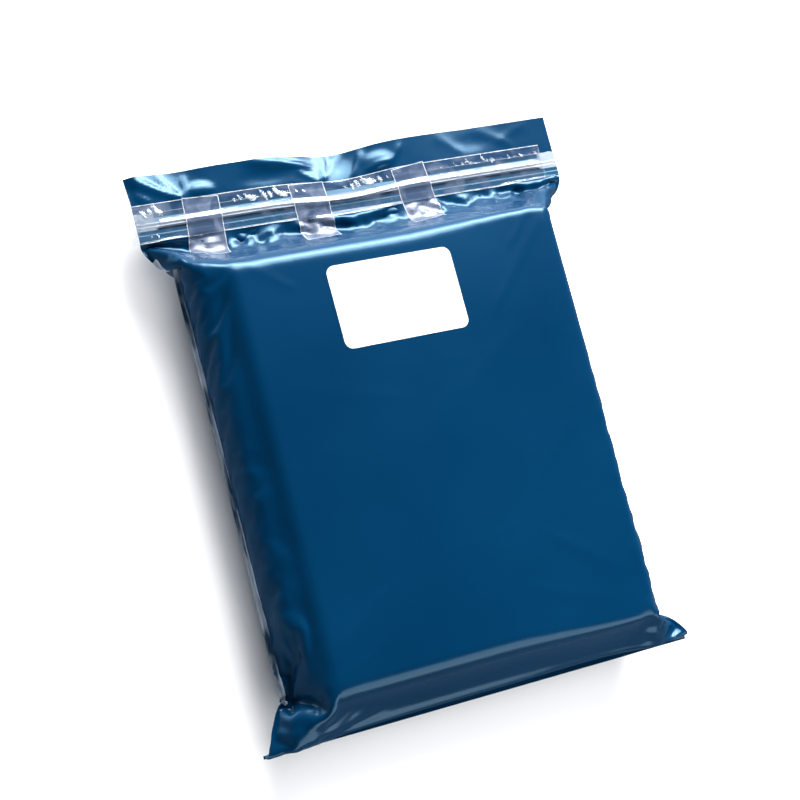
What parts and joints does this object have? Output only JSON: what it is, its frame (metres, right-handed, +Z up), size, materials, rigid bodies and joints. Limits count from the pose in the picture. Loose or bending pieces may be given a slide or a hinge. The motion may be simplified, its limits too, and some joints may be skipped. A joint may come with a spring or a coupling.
{
  "type": "poly mailer bag",
  "caption": "Sealed blue film mailer pulled round a soft block of goods, its mouth pressed into a zipped and taped flap, with a blank label.",
  "frame": {"origin": "on the floor under the middle of the whole object, which lies on its back", "axes": "+Z up, out of the labelled front face; +Y along the length, towards the taped flap; +X across the width, to the right of the label"},
  "size_m": [0.31, 0.3688, 0.0606],
  "materials": {
    "film": "glossy creased polythene film, deep blue",
    "zip": "milky press-to-close zip",
    "tape": "clear glossy packing tape",
    "label": "blank white satin label face"
  },
  "bodies": {
    "root": {"mailer_bag": "film", "zip_strip": "zip", "closure_tape": "tape", "cross_tape_left": "tape", "cross_tape_middle": "tape", "cross_tape_right": "tape", "address_label": "label"}
  },
  "joints": []
}
